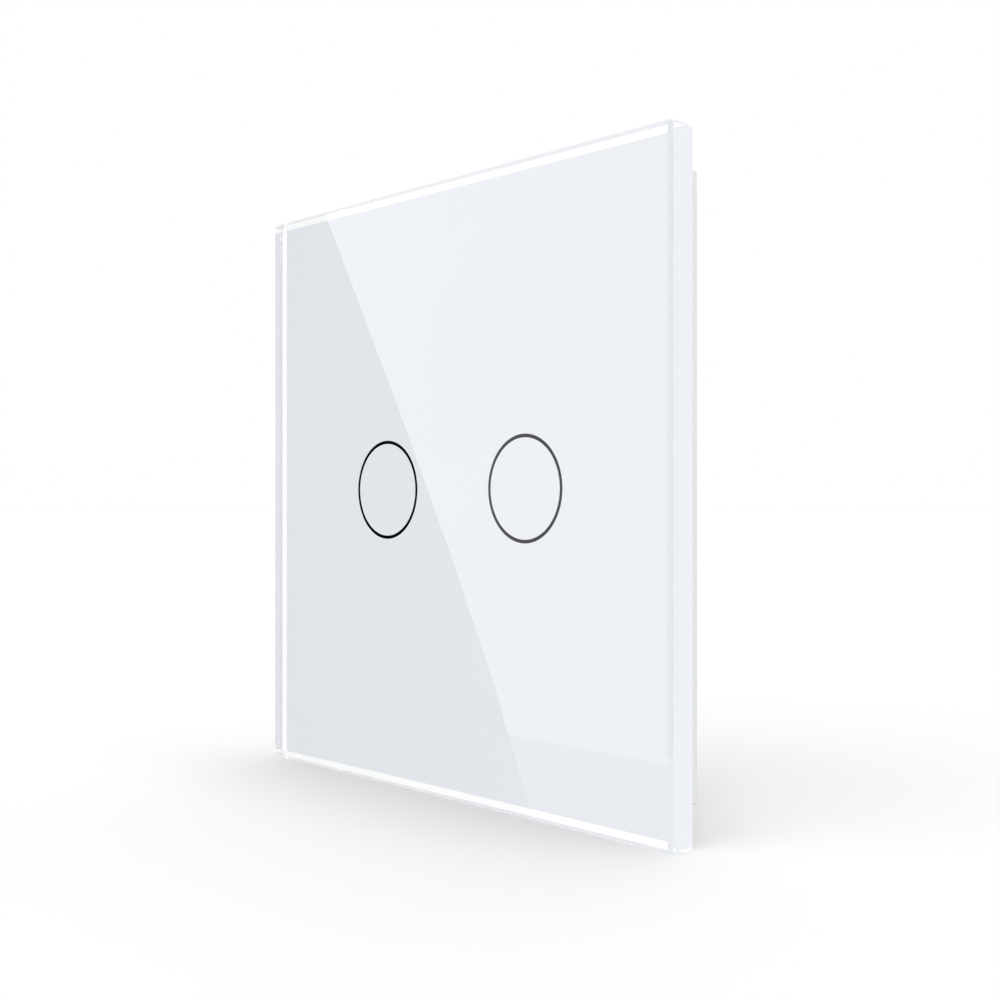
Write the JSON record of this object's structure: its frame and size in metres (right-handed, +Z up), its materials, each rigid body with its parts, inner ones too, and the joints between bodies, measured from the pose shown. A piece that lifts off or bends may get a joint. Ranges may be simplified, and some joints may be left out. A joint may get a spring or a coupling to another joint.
{
  "type": "touch light switch",
  "caption": "Flush wall touch switch: bevelled white glass panel with ring touch marks on a clip-fit frame, wall bracket and a rear housing with relays and screw terminals.",
  "frame": {"origin": "centre of the wall plane, at the back of the mounting bracket", "axes": "+Y into the wall, +Z up, +X to the right as seen from the front"},
  "size_m": [0.08, 0.0282, 0.08],
  "materials": {
    "clear_glass": "polished",
    "white_enamel": "gloss",
    "smoked_ink": "gloss",
    "foam_tape": "matt",
    "white_plastic": "satin",
    "zinc_steel": "zinc plated",
    "light_guide_plastic": "clear",
    "spring_brass": "gold plated",
    "board_laminate": "solder mask",
    "lamp_resin": "diffused",
    "black_resin": "moulded",
    "ceramic_chip": "fired",
    "film_yellow": "moulded",
    "can_sleeve": "shrink sleeve",
    "disc_blue": "dipped",
    "resistor_tan": "lacquer",
    "relay_blue": "moulded",
    "copper_coil": "enamelled",
    "soft_iron": "plain",
    "contact_brass": "bright",
    "terminal_grey": "moulded",
    "plated_screw": "nickel plated"
  },
  "bodies": {
    "base": {"mounting_bracket": "zinc_steel", "front_cover": "white_plastic", "light_guide_left": "light_guide_plastic", "light_guide_right": "light_guide_plastic", "touch_spring_left": "spring_brass", "touch_spring_right": "spring_brass", "sensor_board": "board_laminate", "indicator_leds": "lamp_resin", "touch_controller_chip": "black_resin", "sensor_passives": "ceramic_chip", "board_header": "black_resin", "header_pins": "contact_brass", "header_socket": "black_resin", "rear_housing": "white_plastic", "power_board": "board_laminate", "film_capacitor": "film_yellow", "smoothing_capacitor": "can_sleeve", "surge_disc": "disc_blue", "fuse_resistor": "resistor_tan", "bridge_rectifier": "black_resin", "regulator_chip": "black_resin", "relay_base_1": "black_resin", "relay_yoke_1": "soft_iron", "relay_coil_1": "copper_coil", "relay_contact_1": "contact_brass", "relay_case_1": "relay_blue", "relay_base_2": "black_resin", "relay_yoke_2": "soft_iron", "relay_coil_2": "copper_coil", "relay_contact_2": "contact_brass", "relay_case_2": "relay_blue", "terminal_block": "terminal_grey", "terminal_contacts": "contact_brass", "housing_screws": "plated_screw"},
    "front_panel": {"glass_panel": "clear_glass", "white_backprint": "white_enamel", "ring_window_left": "smoked_ink", "ring_window_right": "smoked_ink", "bonding_tape": "foam_tape", "panel_frame": "white_plastic"},
    "relay_armature_1": {"relay_armature_1": "soft_iron"},
    "relay_armature_2": {"relay_armature_2": "soft_iron"},
    "terminal_screw_1": {"terminal_screw_1": "plated_screw"},
    "terminal_cage_1": {"terminal_cage_1": "plated_screw"},
    "terminal_screw_2": {"terminal_screw_2": "plated_screw"},
    "terminal_cage_2": {"terminal_cage_2": "plated_screw"},
    "terminal_screw_3": {"terminal_screw_3": "plated_screw"},
    "terminal_cage_3": {"terminal_cage_3": "plated_screw"},
    "terminal_screw_4": {"terminal_screw_4": "plated_screw"},
    "terminal_cage_4": {"terminal_cage_4": "plated_screw"}
  },
  "joints": [
    {"name": "panel_release", "type": "slide", "parent": "base", "child": "front_panel", "axis": [0, -1, 0], "range_m": [0, 0.012]},
    {"name": "armature_1_tilt", "type": "hinge", "parent": "base", "child": "relay_armature_1", "pos_m": [-0.0046, 0.0141, -0.00369], "axis": [0, 0, -1], "range_deg": [0, 3.5], "stiffness_Nm_per_rad": 0.0005, "springref_deg": -8.59},
    {"name": "armature_2_tilt", "type": "hinge", "parent": "base", "child": "relay_armature_2", "pos_m": [0.0156, 0.0141, -0.00369], "axis": [0, 0, -1], "range_deg": [0, 3.5], "stiffness_Nm_per_rad": 0.0005, "springref_deg": -8.59},
    {"name": "screw_1_turn", "type": "hinge", "parent": "base", "child": "terminal_screw_1", "pos_m": [-0.0114, 0.016, -0.01509], "axis": [0, -1, 0], "range_deg": [0, 1440]},
    {"name": "cage_1_rise", "type": "slide", "parent": "base", "child": "terminal_cage_1", "axis": [0, 1, 0], "range_m": [0, 0.002]},
    {"name": "screw_2_turn", "type": "hinge", "parent": "base", "child": "terminal_screw_2", "pos_m": [-0.0038, 0.016, -0.01509], "axis": [0, -1, 0], "range_deg": [0, 1440]},
    {"name": "cage_2_rise", "type": "slide", "parent": "base", "child": "terminal_cage_2", "axis": [0, 1, 0], "range_m": [0, 0.002]},
    {"name": "screw_3_turn", "type": "hinge", "parent": "base", "child": "terminal_screw_3", "pos_m": [0.0038, 0.016, -0.01509], "axis": [0, -1, 0], "range_deg": [0, 1440]},
    {"name": "cage_3_rise", "type": "slide", "parent": "base", "child": "terminal_cage_3", "axis": [0, 1, 0], "range_m": [0, 0.002]},
    {"name": "screw_4_turn", "type": "hinge", "parent": "base", "child": "terminal_screw_4", "pos_m": [0.0114, 0.016, -0.01509], "axis": [0, -1, 0], "range_deg": [0, 1440]},
    {"name": "cage_4_rise", "type": "slide", "parent": "base", "child": "terminal_cage_4", "axis": [0, 1, 0], "range_m": [0, 0.002]}
  ],
  "couplings": [
    {"joint": "screw_1_turn", "follows": "cage_1_rise", "rad_per_m": 12566},
    {"joint": "screw_2_turn", "follows": "cage_2_rise", "rad_per_m": 12566},
    {"joint": "screw_3_turn", "follows": "cage_3_rise", "rad_per_m": 12566},
    {"joint": "screw_4_turn", "follows": "cage_4_rise", "rad_per_m": 12566}
  ]
}
